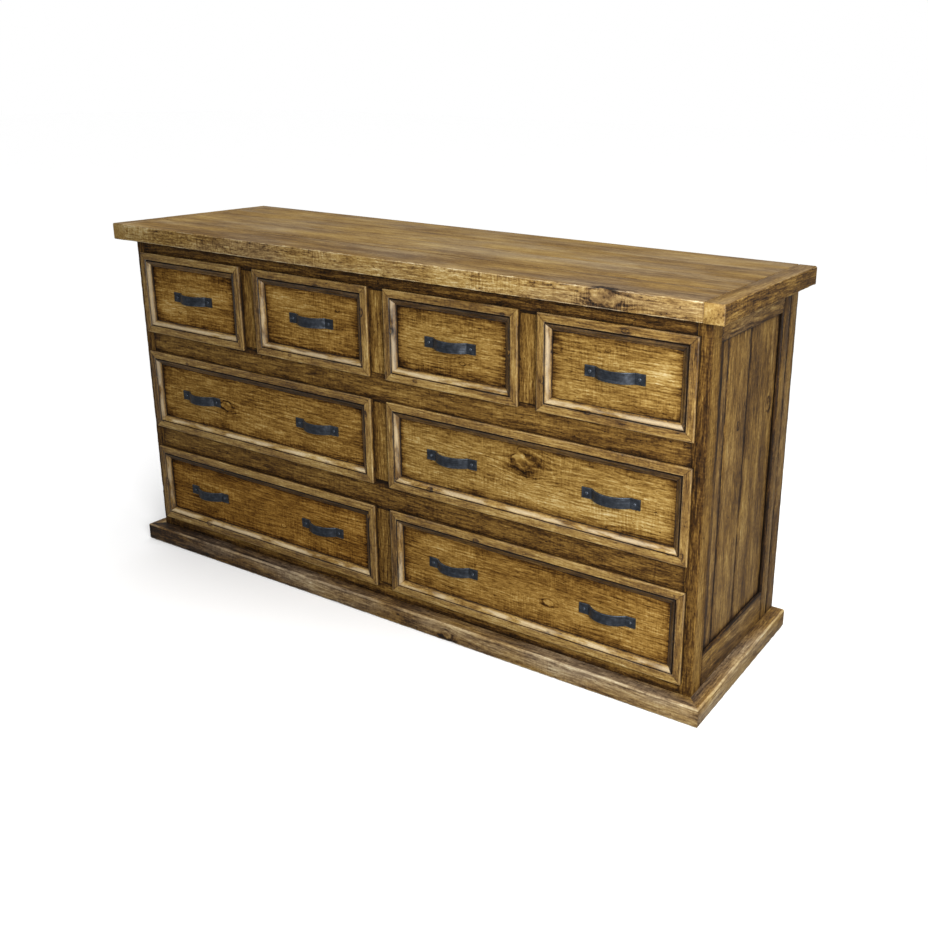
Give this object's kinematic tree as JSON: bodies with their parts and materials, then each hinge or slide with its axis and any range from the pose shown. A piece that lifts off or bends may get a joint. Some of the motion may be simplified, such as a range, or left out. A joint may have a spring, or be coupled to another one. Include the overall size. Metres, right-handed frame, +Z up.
{
  "type": "dresser",
  "caption": "Low, wide rustic pine dresser with a thick plank top, projecting base, moulded drawer fronts in three rows and bowed iron strap pulls.",
  "frame": {"origin": "on the floor, under the middle of the top", "axes": "+X to the right of someone facing the drawers, along the longest side; -Y out of the drawer fronts; +Z up"},
  "size_m": [1.83, 0.547, 0.952],
  "materials": {
    "stained_pine": "dark glazed satin",
    "top_pine": "stained, satin lacquer",
    "base_pine": "dark glazed satin",
    "side_pine": "dark glazed satin",
    "front_pine": "glazed satin over saw marks",
    "moulding_pine": "rubbed back satin",
    "raw_pine": "unfinished",
    "forged_iron": "hammered, blackened"
  },
  "bodies": {
    "carcass": {"top_planks": "top_pine", "top_end_boards": "top_pine", "base_front": "base_pine", "base_left": "base_pine", "base_right": "base_pine", "base_back": "base_pine", "front_post_left": "stained_pine", "front_post_right": "stained_pine", "rear_post_left": "side_pine", "rear_post_right": "side_pine", "rear_stile_left": "side_pine", "rear_stile_right": "side_pine", "top_rail": "stained_pine", "upper_rail": "stained_pine", "lower_rail": "stained_pine", "bottom_rail": "stained_pine", "centre_stile": "stained_pine", "short_stiles": "stained_pine", "side_rails_left": "side_pine", "side_rails_right": "side_pine", "side_planks_left": "side_pine", "side_planks_right": "side_pine", "back_panel": "raw_pine", "back_rails": "raw_pine", "centre_partition": "raw_pine", "drawer_runners": "raw_pine", "drawer_guides": "raw_pine", "top_cleats": "raw_pine"},
    "drawer_1": {"drawer_1_front": "front_pine", "drawer_1_moulding": "moulding_pine", "drawer_1_box": "raw_pine", "drawer_1_pull": "forged_iron"},
    "drawer_2": {"drawer_2_front": "front_pine", "drawer_2_moulding": "moulding_pine", "drawer_2_box": "raw_pine", "drawer_2_pull": "forged_iron"},
    "drawer_3": {"drawer_3_front": "front_pine", "drawer_3_moulding": "moulding_pine", "drawer_3_box": "raw_pine", "drawer_3_pull": "forged_iron"},
    "drawer_4": {"drawer_4_front": "front_pine", "drawer_4_moulding": "moulding_pine", "drawer_4_box": "raw_pine", "drawer_4_pull": "forged_iron"},
    "drawer_5": {"drawer_5_front": "front_pine", "drawer_5_moulding": "moulding_pine", "drawer_5_box": "raw_pine", "drawer_5_pulls": "forged_iron"},
    "drawer_6": {"drawer_6_front": "front_pine", "drawer_6_moulding": "moulding_pine", "drawer_6_box": "raw_pine", "drawer_6_pulls": "forged_iron"},
    "drawer_7": {"drawer_7_front": "front_pine", "drawer_7_moulding": "moulding_pine", "drawer_7_box": "raw_pine", "drawer_7_pulls": "forged_iron"},
    "drawer_8": {"drawer_8_front": "front_pine", "drawer_8_moulding": "moulding_pine", "drawer_8_box": "raw_pine", "drawer_8_pulls": "forged_iron"}
  },
  "joints": [
    {"name": "drawer_1_slide", "type": "slide", "parent": "carcass", "child": "drawer_1", "axis": [0, -1, 0], "range_m": [0, 0.34]},
    {"name": "drawer_2_slide", "type": "slide", "parent": "carcass", "child": "drawer_2", "axis": [0, -1, 0], "range_m": [0, 0.34]},
    {"name": "drawer_3_slide", "type": "slide", "parent": "carcass", "child": "drawer_3", "axis": [0, -1, 0], "range_m": [0, 0.34]},
    {"name": "drawer_4_slide", "type": "slide", "parent": "carcass", "child": "drawer_4", "axis": [0, -1, 0], "range_m": [0, 0.34]},
    {"name": "drawer_5_slide", "type": "slide", "parent": "carcass", "child": "drawer_5", "axis": [0, -1, 0], "range_m": [0, 0.34]},
    {"name": "drawer_6_slide", "type": "slide", "parent": "carcass", "child": "drawer_6", "axis": [0, -1, 0], "range_m": [0, 0.34]},
    {"name": "drawer_7_slide", "type": "slide", "parent": "carcass", "child": "drawer_7", "axis": [0, -1, 0], "range_m": [0, 0.34]},
    {"name": "drawer_8_slide", "type": "slide", "parent": "carcass", "child": "drawer_8", "axis": [0, -1, 0], "range_m": [0, 0.34]}
  ]
}
